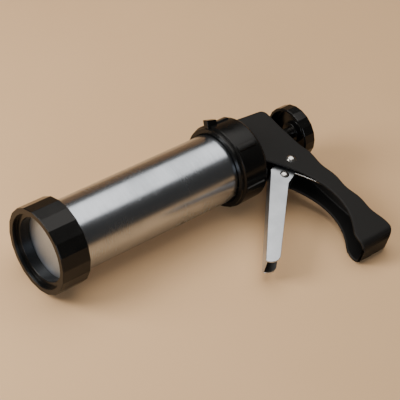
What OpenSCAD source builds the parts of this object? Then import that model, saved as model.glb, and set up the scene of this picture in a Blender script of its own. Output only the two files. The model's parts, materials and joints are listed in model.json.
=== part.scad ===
// Hand press in the form of a small caulking gun: a steel barrel with a
// screw ring at its mouth, a ratchet plunger with a pull knob behind it, and
// a black pistol-style housing with a steel squeeze lever.
//
// The parts are drawn in the gun's own frame: +X runs along the barrel and
// out of the mouth, +Y is the gun's left side and +Z its top, so the handle
// points to -Z. The module lying() then lays the gun on its right side, with
// +Z up and the origin still at the centre of the mouth.

/* [Barrel] */
// Outside diameter of the steel tube
barrel_d = 50.8; // [40:0.1:62]
// Wall of the steel tube
barrel_wall = 0.8; // [0.5:0.1:1.5]
// Length of tube that shows between ring and collar
barrel_show = 131.2; // [100:0.1:170]
// Height of the rolled thread ribs
rib_h = 0.45; // [0.2:0.05:0.6]
// Distance from one thread rib to the next, which is also the thread's lead
thread_lead = 5; // [4:0.5:6]

/* [Front ring] */
// Length of the screw ring at the mouth
ring_len = 22; // [20:0.5:28]
// Thickness of the ring outside its threaded bore
ring_wall = 4.6; // [3:0.1:7]
// Number of flats round the ring
ring_flats = 20; // [12:2:28]
// Depth of the seat that takes a nozzle plate
seat_depth = 3.3; // [2:0.1:5]
// Width of the ring's front rim, outside the seat
rim_w = 3.9; // [2.5:0.1:5]
// Length of the inner sleeve behind the seat, which stops the piston
sleeve_len = 7.7; // [5:0.1:9]
// Wall of that inner sleeve
sleeve_wall = 1.3; // [0.8:0.1:2]

/* [Rear collar] */
// Length of the grip collar behind the barrel
collar_len = 23.5; // [21:0.5:30]
// Number of raised grip pads
pad_count = 6; // [4:1:8]
// Angle that each grip pad covers, in degrees
pad_angle = 10; // [8:1:26]
// Height of the grip pads
pad_h = 0.9; // [0.4:0.1:1.1]
// Turn of the first pad from the gun's left side, in degrees
pad_turn = -22; // [-26:1:-14]
// Height of the small wedge that marks the closed position
wedge_h = 4.8; // [2:0.1:6]

/* [Housing] */
// Outside width of the housing and handle
body_w = 21; // [20:0.5:26]
// Side wall of the housing
body_wall = 2.2; // [1.6:0.1:2.5]
// Wall along the back of the handle
back_wall = 2.5; // [2:0.1:3]
// Height of the housing's top above the barrel axis, at its front
head_top = 24.2; // [20:0.1:25]
// Length of the head, from the collar to the back face
head_len = 37.8; // [37:0.1:46]
// Depth of the handle below the barrel axis
grip_drop = 115; // [108:1:130]
// Radius between the handle's sides and its end
foot_r = 7; // [4:0.5:8]
// Lean of the back of the handle, in mm of run for each mm of drop
grip_lean = 0.066; // [0.04:0.001:0.1]
// Height of the shallow swells along the back of the handle
swell_h = 1.4; // [0:0.1:2]
// Distance from one swell to the next
swell_pitch = 25; // [20:1:30]

/* [Lever] */
// Outside width of the folded steel lever
lever_w = 13; // [12:0.1:13.5]
// Sheet thickness of the lever
lever_t = 1.2; // [0.8:0.1:1.4]
// Length of the lever's front edge
lever_len = 82; // [60:1:84]
// Width of the lever's side plates at the top
lever_top_w = 13.2; // [11:0.1:14]
// Width of the lever's side plates at the tip
lever_tip_w = 9.8; // [8:0.1:11]
// Radius of the main pivot rivet
pivot_r = 2; // [1.6:0.1:2.2]
// Radius of the rivets' domed heads
rivet_head_r = 3.7; // [2.6:0.1:4.2]
// Height of the rivets' domed heads
rivet_head_h = 1.8; // [0.8:0.1:2]

/* [Plunger] */
// Diameter of the toothed rod
rod_d = 9; // [8:0.1:10]
// Depth of the rod's teeth
tooth_depth = 2; // [1.4:0.1:2.4]
// Distance from one tooth to the next
tooth_pitch = 4; // [3:0.5:5]
// How far the plunger can be drawn back
stroke = 135; // [110:1:135]
// Gap between the mouth's sleeve and the piston when the barrel is empty
piston_gap = 0.3; // [0.2:0.1:1]
// Thickness of the piston's front plate
face_t = 1.4; // [1:0.1:2]
// Thickness of the piston's seal
seal_t = 5.5; // [4:0.1:7]
// Thickness of the piston's back plate
back_t = 1.2; // [0.8:0.1:2]
// Radius of the pull knob, over its flats
knob_r = 20; // [16:0.1:22]
// Length of the pull knob
knob_len = 9.5; // [9:0.1:12]
// Number of flats round the knob
knob_flats = 20; // [12:1:28]
// Gap from the housing to the knob
knob_gap = 8.4; // [5:0.1:12]

/* [Fits] */
// Radial clearance of a pin or shaft that turns or slides in its hole
run_fit = 0.05; // [0.02:0.01:0.09]
// Gap between faces that move past each other
side_gap = 0.4; // [0.3:0.05:0.6]

/* [Hidden] */

$fn = 96;
past = 1;                                     // how far a cut runs past a face

barrel_r = barrel_d / 2;
bore_r = barrel_r - barrel_wall;
rod_r = rod_d / 2;

// Stations along the barrel axis, from the mouth at 0 backwards.
seat_x = -seat_depth;
web_t = 1.4;                                  // wall between the seat and the gasket
gasket_t = 1.2;
gasket_front = seat_x - web_t;
barrel_front = gasket_front - gasket_t;
sleeve_end = seat_x - sleeve_len;
ring_back = -ring_len;
collar_front = ring_back - barrel_show;
collar_back = collar_front - collar_len;
lip_t = 2.2;                                  // collar's inward lip behind the flange
flange_t = 4;
flange_back = collar_back + lip_t + side_gap;
flange_front = flange_back + flange_t;
barrel_back = flange_front + gasket_t;
head_front = collar_back - 0.6;
head_wall = 2.4;
head_in = head_front - head_wall;
head_back = collar_back - head_len;

// Radii that follow the barrel.
thread_gap = 0.25;
thread_bore = barrel_r + rib_h + thread_gap;
ring_flat = thread_bore + ring_wall;          // axis to a flat
seat_r = ring_flat - rim_w;
sleeve_r = bore_r - 0.3;
mouth_r = sleeve_r - sleeve_wall;
collar_r = ring_flat;
lip_r = max(norm([body_w / 2, head_top]) + 0.3 + side_gap, thread_bore - 0.8);
neck_r = lip_r - side_gap;
flange_r = lip_r + 1.8;
front_lip_r = collar_r - 1.2;                 // lip at the collar's front edge

// The handle's outline and its hollow.
head_corner_r = 5;
head_fall = 0.074;                            // slope of the head's top
belly_top = -14.5;
heel_r = 8;
toe_r = 1.5;
end_wall = 2.4;
foot_z = -grip_drop;
waist = [head_back + 7.2, -69];
toe_x = head_back + 21.2;
toe_top = [toe_x - 1.6, foot_z + 13.7];
swell_top = -16;

// The lever, its pivots and its stroke.
pivot = [head_back + 13.3, -26.3];
lever_start = pivot + [18.8, -0.3];
lever_angle = -47;                            // direction of the front edge
tip_r = 7.5;
ear_r = 4.6;
pivot_ear_r = 6.5;
spring_pin = pivot + [11.2, -6.8];
spring_pin_r = 1.6;
arm = 12;                                     // pivot to the drive pawl's pin
arm_lean = 10;                                // arm's lean backwards at rest
drive_pin = pivot + arm * [-sin(arm_lean), cos(arm_lean)];
pin_r = 1.25;
pawl_w = 5;
pawl_hub_r = 2.6;
tip_gap = 0.1;                                // pawl tips to the tooth tips
drive_tip = [6, -rod_r - tip_gap - pivot[1] - arm];
hold_pin = [head_in - 6, -rod_r - tip_gap - 6.4];
hold_tip = [5, 6.4];
sleeve_out_r = 2.9;
coil_r = 3.8;
coil_wire_r = 0.7;

// The piston and the rod, from the mouth back to the knob.
piston_face = sleeve_end - piston_gap;
hub_front = piston_face - face_t - seal_t - back_t;
hub_r = 8;
hub_len = 13;
hub_spigot_r = 4;
rod_front = hub_front - 2.3;
groove_r = rod_r - 1.5;
swivel_x = hub_front - 7;
swivel_r = 1;
swivel_off = groove_r + swivel_r + 0.1;
relief_r = groove_r;                          // neck over which the pawls run free
relief_front = head_in - 0.7;
relief_back = drive_pin[0] + drive_tip[0] - 4;
bush_r = 6.5;
knob_front = head_back - knob_gap;
knob_back = knob_front - knob_len;
knob_wall = 2;
knob_floor = 2.2;
knob_boss_r = 8;
knob_draft = 0.6;                             // taper of the knob's wall, inside
knob_recess = 3.4;
knob_seat = knob_back + 6.4;                  // rod's shoulder against the knob
spigot_r = 3;
screw_r = 2;
washer_t = 0.7;

// Lying on its side, the gun rests on a flat of the ring and on the rounded
// lower edge of the handle's foot, which sets how far the handle droops.
edge_at = [body_w / 2 - foot_r, grip_drop - foot_r];
droop = asin((ring_flat - foot_r) / norm(edge_at)) - atan2(edge_at[0], edge_at[1]);

module lying() { rotate([90 - droop, 0, 0]) children(); }

// Points along a cubic curve, along an arc, and round a regular polygon.
function bez(p, t) = pow(1 - t, 3) * p[0] + 3 * pow(1 - t, 2) * t * p[1]
    + 3 * (1 - t) * t * t * p[2] + t * t * t * p[3];
function curve(p, n) = [for (i = [0 : n]) bez(p, i / n)];
function polar(r, a) = r * [cos(a), sin(a)];
function arc(at, r, a0, a1, n) = [for (i = [0 : n]) at + polar(r, a0 + (a1 - a0) * i / n)];
function ngon(n, r, a0) = [for (i = [0 : n - 1]) polar(r, a0 + 360 * i / n)];

// Puts a shape drawn round +Z on the barrel axis. Angles round the axis run
// from the gun's left side towards its top.
module on_axis() { rotate([0, 90, 0]) rotate([0, 0, 90]) children(); }

// A solid of revolution about the barrel axis, from (radius, x) points.
module turned(points) { on_axis() rotate_extrude() polygon(points); }

// A round bar along the barrel axis from x0 back to x1, and one across it.
module bar_x(x0, x1, r) { translate([x1, 0, 0]) on_axis() cylinder(h = x0 - x1, r = r); }
module bar_y(at, y0, y1, r) {
    translate([at[0], y0, at[1]]) rotate([-90, 0, 0]) cylinder(h = y1 - y0, r = r);
}

// A prism with flats, along the barrel axis, with its corners broken. One
// flat faces the floor.
module flatted(x0, x1, flats, to_flat, corner) {
    r = to_flat / cos(180 / flats);
    intersection() {
        translate([x1, 0, 0]) on_axis() linear_extrude(x0 - x1)
            polygon(ngon(flats, r, 180 + droop + 180 / flats));
        turned([[0, x0], [r - corner, x0], [r + 0.01, x0 - corner],
            [r + 0.01, x1 + corner], [r - corner, x1], [0, x1]]);
    }
}

// An (x, z) outline given thickness from y0 to y1.
module slab(points, y0, y1) {
    translate([0, y1, 0]) rotate([90, 0, 0]) linear_extrude(y1 - y0) polygon(points);
}

// A tube round a cross pin, from y0 to y1.
module tube_y(at, y0, y1, r_in, r_out) {
    difference() {
        bar_y(at, y0, y1, r_out);
        bar_y(at, y0 - past, y1 + past, r_in);
    }
}

// A rivet along y: a shank with a domed head outside each of two faces.
module rivet(at, half, shank_r, head_r, head_h) {
    dome_r = (head_r * head_r + head_h * head_h) / (2 * head_h);
    bar_y(at, -half, half, shank_r);
    for (side = [-1, 1])
        translate([at[0], side * half, at[1]]) rotate([-90 * side, 0, 0])
            rotate_extrude() intersection() {
                square([head_r, head_h]);
                translate([0, head_h - dome_r]) circle(r = dome_r);
            }
}

// Wire of radius r along 3-D points that lie near a plane across y.
module wire(points, r) {
    sides = 8;
    n = len(points);
    function along(i) = points[min(i + 1, n - 1)] - points[max(i - 1, 0)];
    function unit(v) = v / norm(v);
    function ring(i) =
        let (out = unit(cross(along(i), [0, 1, 0])), up = unit(cross(out, along(i))))
        [for (k = [0 : sides - 1]) let (a = 360 * k / sides)
            points[i] + r * (cos(a) * out + sin(a) * up)];
    walls = [for (i = [0 : n - 2], k = [0 : sides - 1]) let (j = (k + 1) % sides)
        [i * sides + k, (i + 1) * sides + k, (i + 1) * sides + j, i * sides + j]];
    ends = [[for (k = [0 : sides - 1]) k], [for (k = [sides - 1 : -1 : 0]) (n - 1) * sides + k]];
    polyhedron([for (i = [0 : n - 1]) each ring(i)], concat(walls, ends));
}

// Points of a coil round a cross pin, from angle a0 to a1 and from y0 to y1.
function coil(at, r, a0, a1, y0, y1) = let (n = ceil(abs(a1 - a0) / 24))
    [for (i = [0 : n]) let (p = at + polar(r, a0 + (a1 - a0) * i / n))
        [p[0], y0 + (y1 - y0) * i / n, p[1]]];
function at_y(points, y) = [for (p = points) [p[0], y, p[1]]];

// ---- Barrel, ring and collar ----

module front_ring() color("#1b1b1b") lying() difference() {
    flatted(0, ring_back, ring_flats, ring_flat, 0.7);
    turned([
        [0, past], [seat_r, past], [seat_r, seat_x],
        [mouth_r + 0.4, seat_x], [mouth_r, seat_x - 0.4],
        [mouth_r, sleeve_end], [sleeve_r, sleeve_end], [sleeve_r, gasket_front],
        [thread_bore, gasket_front], [thread_bore, ring_back - past], [0, ring_back - past]]);
}

module front_gasket() color("#2a2a2a") lying() turned([
    [sleeve_r + 0.1, gasket_front], [thread_bore - 0.1, gasket_front],
    [thread_bore - 0.1, barrel_front], [sleeve_r + 0.1, barrel_front]]);

// Three rolled thread ribs as (radius, x) points, running backwards.
function ribs(first) = [for (i = [0 : 2], p = [[0, 1.2], [rib_h, 0.5], [rib_h, -0.5], [0, -1.2]])
    [barrel_r + p[0], first - i * thread_lead + p[1]]];

module barrel_tube() color("#c9c8c4") lying() {
    end_margin = 2.5;
    turned(concat(
        [[bore_r, barrel_front], [barrel_r, barrel_front]],
        ribs(barrel_front - end_margin),
        ribs(barrel_back + end_margin + 2 * thread_lead),
        [[barrel_r, barrel_back], [bore_r, barrel_back]]));
}

// The collar's outside: a thin front lip, a groove, and a body that tapers
// a little to a rounded back edge.
function collar_outside() = concat(
    [[thread_bore - past, collar_front], [front_lip_r - 0.4, collar_front],
        [front_lip_r, collar_front - 0.4], [front_lip_r, collar_front - 1.4],
        [front_lip_r - 0.6, collar_front - 1.8], [front_lip_r - 0.6, collar_front - 2.4],
        [collar_r, collar_front - 3.4]],
    arc([collar_r - 2, collar_back + 1.5], 1.5, 0, -90, 6),
    [[thread_bore - past, collar_back]]);

module rear_collar() color("#1d1d1d") lying() {
    pad_front = collar_front - 3.8;
    pad_back = collar_back + 3.4;
    difference() {
        union() {
            turned(collar_outside());
            for (i = [0 : pad_count - 1])
                on_axis() rotate([0, 0, pad_turn - pad_angle / 2 + 360 * i / pad_count])
                    rotate_extrude(angle = pad_angle) polygon([
                        [collar_r - 1.4, pad_front], [collar_r + pad_h - 0.4, pad_front],
                        [collar_r + pad_h, pad_front - 0.4], [collar_r + pad_h - 0.3, pad_back + 0.4],
                        [collar_r + pad_h - 0.7, pad_back], [collar_r - 1.4, pad_back]]);
            // The wedge stands on the pad next to the first, near the front.
            rotate([pad_turn + 360 / pad_count, 0, 0]) translate([0, 0, -2.4]) linear_extrude(4.8)
                polygon([[collar_front - 0.8, collar_r - 2.4], [collar_front - 1.4, collar_r + wedge_h],
                    [collar_front - 9.5, collar_r + wedge_h - 2], [collar_front - 10, collar_r - 2.4]]);
        }
        turned([
            [0, collar_front + past], [thread_bore, collar_front + past],
            [thread_bore, flange_front + side_gap], [flange_r + 0.3, flange_front + side_gap],
            [flange_r + 0.3, collar_back + lip_t], [lip_r, collar_back + lip_t],
            [lip_r, collar_back - past], [0, collar_back - past]]);
    }
}

module rear_gasket() color("#2a2a2a") lying() turned([
    [bore_r - 1, barrel_back], [thread_bore - 0.3, barrel_back],
    [thread_bore - 0.3, flange_front], [bore_r - 1, flange_front]]);

// ---- Housing with its handle ----

// The back of the head is upright, and the handle leans back below the axis.
function back_line(z) = head_back - 0.6 + grip_lean * min(z, 0);
function swell(z) = z > swell_top ? 0 : swell_h * (1 - cos(360 * (z - swell_top) / swell_pitch)) / 2;
function top_line(x) = head_top - head_fall * (head_front - x);
heel_z = foot_z + heel_r;
heel = [back_line(heel_z) - swell(heel_z) + heel_r, heel_z];
head_corner = [back_line(0) + head_corner_r, top_line(head_back) - head_corner_r];

function belly(n) = concat(
    arc([toe_x - toe_r, foot_z + toe_r], toe_r, -90, 0, 6),
    curve([[toe_x, foot_z + toe_r], [toe_x, foot_z + 6], toe_top + [1.4, -4], toe_top], 6),
    curve([toe_top, toe_top + [-5.1, 7.8], waist + [0, -16], waist], n),
    curve([waist, waist + [0, 22], [head_front - 13, belly_top - 7.5], [head_front, belly_top]], n));

function housing_outline() = concat(
    [[head_front, top_line(head_front)]],
    arc(head_corner, head_corner_r, 90, 180, 8),
    [for (i = [0 : 48]) let (z = heel_z * i / 48) [back_line(z) - swell(z), z]],
    arc(heel, heel_r, 180, 270, 12),
    belly(18));

function housing_hollow() = concat(
    [[head_in, top_line(head_in) - body_wall]],
    arc(head_corner, head_corner_r - back_wall, 90, 180, 6),
    [[back_line(0) + back_wall, 0], [back_line(waist[1]) + back_wall, waist[1]]],
    arc(heel, heel_r - end_wall, 180, 270, 8),
    [[head_in, foot_z + end_wall]]);

// A block along the barrel axis whose lower edges are rounded like the foot.
module rounded_block(half, bottom, r) {
    translate([head_back - 20, 0, 0]) rotate([90, 0, 90]) linear_extrude(head_front - head_back + 20) {
        translate([-half, bottom + r]) square([2 * half, head_top + past - bottom - r]);
        translate([r - half, bottom]) square([2 * (half - r), r + past]);
        for (side = [-1, 1]) translate([side * (half - r), bottom + r]) circle(r = r);
    }
}

module housing() color("#232220") lying() {
    hollow_y = body_w / 2 - body_wall;
    difference() {
        union() {
            difference() {
                intersection() {
                    slab(housing_outline(), -body_w / 2, body_w / 2);
                    rounded_block(body_w / 2, foot_z, foot_r);
                }
                intersection() {
                    slab(housing_hollow(), -hollow_y, hollow_y);
                    rounded_block(hollow_y, foot_z + end_wall, foot_r - end_wall);
                }
            }
            bar_x(flange_front, flange_back, flange_r);
            bar_x(flange_front, head_in, neck_r);
            // Boss round the rear bush.
            bar_x(head_back + 3.6, head_back, bush_r + 2);
            // Stops for the lever's arms, one inside each wall.
            for (side = [-1, 1])
                slab([[back_line(0) + 1, drive_pin[1] - 3], [drive_pin[0] - ear_r - 0.5, drive_pin[1] - 3],
                    [drive_pin[0] - ear_r - 0.5, drive_pin[1] + 3], [back_line(0) + 1, drive_pin[1] + 3]],
                    side > 0 ? lever_w / 2 - lever_t - 0.3 : -hollow_y - 0.5,
                    side > 0 ? hollow_y + 0.5 : -lever_w / 2 + lever_t + 0.3);
        }
        // Hollow in the face that closes the barrel.
        turned([[bush_r + 2.5, flange_front + past], [bore_r - 2.2, flange_front + past],
            [bore_r - 2.2, head_in + 3.2], [bush_r + 2.5, head_in + 3.2]]);
        bar_x(flange_front + past, head_back - 2, bush_r);
        // Flat seat for the rear bush's flange.
        bar_x(back_line(0), back_line(0) - 3, bush_r + 1.6);
        bar_y(pivot, -body_w, body_w, pivot_r);
        bar_y(hold_pin, -body_w, body_w / 2 - 1.2, pin_r);
    }
}

// ---- Bushes ----

module front_bush() color("#d8d4c8") lying() turned([
    [rod_r + run_fit, flange_front + 1.2], [bush_r + 1.6, flange_front + 1.2],
    [bush_r + 1.6, flange_front], [bush_r, flange_front],
    [bush_r, head_in], [rod_r + run_fit, head_in]]);

module rear_bush() color("#d8d4c8") lying() {
    outside = back_line(0);
    turned([
        [rod_r + run_fit, head_back + 3.6], [bush_r, head_back + 3.6],
        [bush_r, outside], [bush_r + 1.4, outside],
        [bush_r + 1.4, outside - 1.2], [rod_r + run_fit, outside - 1.2]]);
}

// ---- Piston ----

module piston_plate() color("#b9b8b4") lying() {
    r = bore_r - 0.4;
    turned([[0, piston_face], [r - 0.6, piston_face], [r, piston_face - 0.5],
        [r, piston_face - face_t], [0, piston_face - face_t]]);
}

module piston_seal() color("#2a2a2a") lying() {
    front = piston_face - face_t;
    back = front - seal_t;
    r = bore_r - run_fit;
    turned([[hub_spigot_r, front], [r, front], [r, front - 1.6], [r - 1.2, front - 2.1],
        [r - 1.2, back + 2.1], [r, back + 1.6], [r, back], [hub_spigot_r, back]]);
}

module piston_back_plate() color("#b9b8b4") lying() {
    front = hub_front + back_t;
    turned([[hub_spigot_r, front], [bore_r - 0.8, front], [bore_r - 0.8, hub_front],
        [hub_spigot_r, hub_front]]);
}

module piston_hub() color("#a5a49f") lying() difference() {
    union() {
        bar_x(piston_face - face_t, hub_front - past, hub_spigot_r);
        bar_x(hub_front, hub_front - hub_len, hub_r);
    }
    bar_x(rod_front + 0.3, hub_front - hub_len - past, rod_r + run_fit);
    bar_y([swivel_x, swivel_off], -hub_r, hub_r, swivel_r);
}

module swivel_pin() color("#8f8e8a") lying() {
    half = sqrt(hub_r * hub_r - swivel_off * swivel_off) - 0.3;
    bar_y([swivel_x, swivel_off], -half, half, swivel_r);
}

// ---- Rod and knob ----

// Sawtooth cuts below the rod: each tooth's upright face looks backwards. The
// neck behind them lets the pawls swing in when the barrel is empty.
module plunger_rod() color("#aaa9a5") lying() {
    count = floor((stroke - 8) / tooth_pitch);
    difference() {
        union() {
            bar_x(rod_front, knob_seat, rod_r);
            bar_x(knob_seat + past, knob_back + knob_recess + 0.1, spigot_r);
        }
        turned([[groove_r, swivel_x + 1.2], [rod_r + past, swivel_x + 1.2],
            [rod_r + past, swivel_x - 1.2], [groove_r, swivel_x - 1.2]]);
        turned([[relief_r, relief_front], [rod_r + past, relief_front],
            [rod_r + past, relief_back - (rod_r + past - relief_r)], [relief_r, relief_back]]);
        for (i = [0 : count - 1]) let (x = relief_front + i * tooth_pitch, root = -rod_r + tooth_depth)
            slab([[x - 0.01, -rod_r - past], [x + tooth_pitch - 0.6, -rod_r - 0.01],
                [x + 0.8, root], [x - 0.01, root]], -rod_r, rod_r);
        bar_x(knob_seat + 6, knob_back, screw_r);
    }
}

module pull_knob() color("#1b1b1b") lying() difference() {
    flatted(knob_front, knob_back, knob_flats, knob_r, 0.8);
    turned([
        [knob_boss_r, knob_front + past], [knob_r - knob_wall, knob_front + past],
        [knob_r - knob_wall - knob_draft, knob_back + knob_floor], [knob_boss_r, knob_back + knob_floor]]);
    bar_x(knob_front + past, knob_seat, knob_boss_r + 0.01);
    bar_x(knob_front, knob_back - past, spigot_r);
    bar_x(knob_back + knob_recess, knob_back - past, bush_r);
}

module knob_washer() color("#b9b8b4") lying() difference() {
    bar_x(knob_back + knob_recess, knob_back + knob_recess - washer_t, bush_r - 0.6);
    bar_x(knob_front, knob_back - past, screw_r + 0.2);
}

module knob_screw() color("#b9b8b4") lying() {
    under_head = knob_back + knob_recess - washer_t;
    head_h = 2.1;
    difference() {
        union() {
            bar_x(under_head, under_head - head_h, 3.8);
            bar_x(knob_seat + 5, under_head - past, screw_r);
        }
        for (turn = [0, 90])
            rotate([turn, 0, 0]) translate([under_head - head_h - past, -0.5, -2.6]) cube([2.2, 1, 5.2]);
    }
}

// ---- Lever ----

lever_u = polar(1, lever_angle);
lever_n = polar(1, lever_angle - 90);
function on_lever(s, w) = lever_start + s * lever_u + w * lever_n;

function lever_outline() = concat(
    [on_lever(-3, 0), on_lever(lever_len - 1.5, 0), on_lever(lever_len - 0.4, 0.4)],
    [on_lever(lever_len, 1.5)],
    arc(on_lever(lever_len - tip_r, lever_tip_w - tip_r), tip_r, lever_angle, lever_angle - 90, 10),
    [on_lever(7.2, lever_top_w), on_lever(-0.4, lever_top_w + 3.4)],
    arc(pivot, pivot_ear_r, -140, -184, 4),
    arc(drive_pin, ear_r, 176, -6, 12),
    [pivot + [7, 3.5]]);

module trigger_lever() color("#c4c4c4") lying() {
    inside = lever_w / 2 - lever_t;
    difference() {
        slab(lever_outline(), -lever_w / 2, lever_w / 2);
        slab([on_lever(-60, lever_t), on_lever(lever_len + 9, lever_t),
            on_lever(lever_len + 9, 40), on_lever(-60, 40)], -inside, inside);
        slab([on_lever(-60, -20), on_lever(0, -20), on_lever(0, 9), on_lever(-60, 9)], -inside, inside);
        bar_y(pivot, -lever_w, lever_w, pivot_r + run_fit);
        bar_y(drive_pin, -lever_w, lever_w, pin_r);
        bar_y(spring_pin, -lever_w, lever_w, spring_pin_r);
    }
}

module pivot_rivet() color("#d0d0d0") lying()
    rivet(pivot, body_w / 2, pivot_r, rivet_head_r, rivet_head_h);

module pivot_sleeve() color("#8f8e8a") lying() {
    half = lever_w / 2 - lever_t - 0.1;
    tube_y(pivot, -half, half, pivot_r + run_fit, sleeve_out_r);
}

module pivot_washers() color("#d8d4c8") lying() {
    near = lever_w / 2 + 0.1;
    far = body_w / 2 - body_wall - 0.1;
    tube_y(pivot, near, far, pivot_r + run_fit, 4.6);
    tube_y(pivot, -far, -near, pivot_r + run_fit, 4.6);
}

module spring_rivet() color("#d0d0d0") lying()
    rivet(spring_pin, lever_w / 2, spring_pin_r, rivet_head_r - 0.3, min(rivet_head_h, 1.5));

// The return spring winds round the sleeve. Its front leg lies under the
// spring rivet, and its long back leg bears on the inside of the handle.
module return_spring() color("#9c9c98") lying() {
    front_a = -116.7;
    back_a = -43 - 360 * 4;
    front_y = -lever_w / 2 + lever_t + coil_wire_r + 0.15;
    back_y = 1.1;
    wall_touch = [back_line(-58) + back_wall + coil_wire_r, -58];
    front_leg = pivot + polar(coil_r, front_a) + polar(14, front_a + 90);
    back_start = pivot + polar(coil_r, back_a);
    back_leg = curve([back_start, back_start + [-6.6, -7.1], wall_touch + [4.7, 12], wall_touch], 8);
    wire(concat(at_y([front_leg], front_y), coil(pivot, coil_r, front_a, back_a, front_y, back_y),
        at_y([for (i = [1 : 8]) back_leg[i]], back_y)), coil_wire_r);
}

// ---- Pawls ----

// A pawl's outline: a hub round its pin and an arm up to a squared tip.
function pawl(at, tip) = let (a = atan2(tip[1], tip[0]))
    concat(
        [at + tip, at + tip + [0, -3.4]],
        arc(at, pawl_hub_r, a - 75, a - 285, 12),
        [at + tip + [-2, 0]]);

module pawl_solid(at, tip) difference() {
    slab(pawl(at, tip), -pawl_w / 2, pawl_w / 2);
    bar_y(at, -pawl_w, pawl_w, pin_r + run_fit);
}

// A light spring beside a pawl, round the same pin.
module pawl_spring(at, pawl_leg, rest_leg) {
    r = 2.1;
    y0 = pawl_w / 2 + 0.5;
    y1 = lever_w / 2 - lever_t - 0.5;
    wire(concat(at_y([at + polar(r, pawl_leg - 90) + polar(5, pawl_leg)], y0),
        coil(at, r, pawl_leg - 90, rest_leg + 90 - 720, y0, y1),
        at_y([at + polar(r, rest_leg + 90) + polar(5, rest_leg)], y1)), 0.3);
}

module drive_pawl() color("#8f8e8a") lying() pawl_solid(drive_pin, drive_tip);
module drive_pawl_pin() color("#b9b8b4") lying()
    bar_y(drive_pin, -lever_w / 2 - 0.4, lever_w / 2 + 0.4, pin_r);
module drive_pawl_spring() color("#9c9c98") lying() pawl_spring(drive_pin, 45, -90);

module holding_pawl() color("#8f8e8a") lying() pawl_solid(hold_pin, hold_tip);
module holding_pawl_pin() color("#b9b8b4") lying()
    bar_y(hold_pin, -body_w / 2, body_w / 2 - 1.2, pin_r);
module holding_pawl_spring() color("#9c9c98") lying() pawl_spring(hold_pin, 35, -60);

front_ring();
front_gasket();
barrel_tube();
rear_collar();
rear_gasket();
housing();
front_bush();
rear_bush();
piston_plate();
piston_seal();
piston_back_plate();
piston_hub();
swivel_pin();
plunger_rod();
pull_knob();
knob_washer();
knob_screw();
trigger_lever();
pivot_rivet();
pivot_sleeve();
pivot_washers();
spring_rivet();
return_spring();
drive_pawl();
drive_pawl_pin();
drive_pawl_spring();
holding_pawl();
holding_pawl_pin();
holding_pawl_spring();
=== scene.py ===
"""A hand press in the form of a small caulking gun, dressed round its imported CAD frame.

The CAD nodes give every size and place. Turned pieces are made again here as clean
lathe meshes with rounded edges, sheet and moulded pieces are bevelled copies of their
CAD nodes, and springs, threads, grip pads and rivet heads come from Geometry Nodes.
"""

import json
import logging
import math
from dataclasses import dataclass
from enum import Enum
from typing import Callable, Optional, Sequence

import bmesh
import bpy
from mathutils import Matrix, Vector


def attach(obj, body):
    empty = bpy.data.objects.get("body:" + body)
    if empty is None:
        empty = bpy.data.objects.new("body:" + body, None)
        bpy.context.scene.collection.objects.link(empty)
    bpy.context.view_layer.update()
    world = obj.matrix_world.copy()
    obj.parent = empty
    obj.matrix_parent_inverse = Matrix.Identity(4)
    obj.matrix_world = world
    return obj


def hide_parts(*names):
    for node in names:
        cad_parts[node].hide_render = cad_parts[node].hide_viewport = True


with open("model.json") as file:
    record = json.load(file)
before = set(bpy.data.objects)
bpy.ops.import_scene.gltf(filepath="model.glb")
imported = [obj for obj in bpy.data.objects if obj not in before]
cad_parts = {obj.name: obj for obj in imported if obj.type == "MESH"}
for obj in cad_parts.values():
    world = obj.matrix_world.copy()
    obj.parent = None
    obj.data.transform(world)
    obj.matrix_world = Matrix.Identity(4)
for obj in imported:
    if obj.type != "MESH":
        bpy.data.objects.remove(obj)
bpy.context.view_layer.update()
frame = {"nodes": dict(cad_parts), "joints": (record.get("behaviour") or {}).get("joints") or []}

LOG = logging.getLogger("hand_press")
MM = 0.001
Corner = tuple[float, float, float]  # radius, place along the axis, rounding, in mm


# ---------------------------------------------------------------- the gun's own frame


def gun_axes() -> Matrix:
    """Finds how the gun lies.

    Returns:
        The matrix that turns the gun's own axes (X out of the mouth, Y to its left,
        Z to its top) into the row frame. The lever's pivot runs along its Y.
    """
    lever = next(j for j in frame["joints"] if j["name"] == "lever_squeeze")
    along, across = Vector((1, 0, 0)), Vector(lever["axis"]).normalized()
    return Matrix((along, across, along.cross(across))).transposed()


GUN = gun_axes()


def lay(x: float, y: float, z: float) -> Vector:
    """Turns a point in the gun's own frame, in mm, into the row frame, in metres."""
    return GUN @ Vector((x, y, z)) * MM


# ---------------------------------------------------------------- node helpers


def linear(code: str) -> tuple[float, float, float, float]:
    """Turns an sRGB hex colour into the linear colour that shaders use.

    Args:
        code: The colour, such as "#1c1b1a".

    Returns:
        Red, green, blue and alpha, from 0 to 1.
    """
    parts = [int(code[i : i + 2], 16) / 255 for i in (1, 3, 5)]
    red, green, blue = (p / 12.92 if p <= 0.04045 else ((p + 0.055) / 1.055) ** 2.4 for p in parts)
    return (red, green, blue, 1.0)


def add_node(
    tree: bpy.types.NodeTree, kind: str, settings: Optional[dict] = None, **inputs: object
) -> bpy.types.Node:
    """Adds a node with its settings, values and links.

    Args:
        tree: The node tree.
        kind: The node's type name.
        settings: Properties of the node itself.
        **inputs: Values or output sockets for its inputs, by name, with _ for a space,
            or by number as i0, i1 and so on.

    Returns:
        The new node.
    """
    made = tree.nodes.new(kind)
    for key, value in (settings or {}).items():
        setattr(made, key, value)
    for key, value in inputs.items():
        numbered = key[0] == "i" and key[1:].isdigit()
        socket = made.inputs[int(key[1:])] if numbered else made.inputs[key.replace("_", " ")]
        if isinstance(value, bpy.types.NodeSocket):
            tree.links.new(value, socket)
        else:
            socket.default_value = value
    return made


# ---------------------------------------------------------------- finishes


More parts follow.
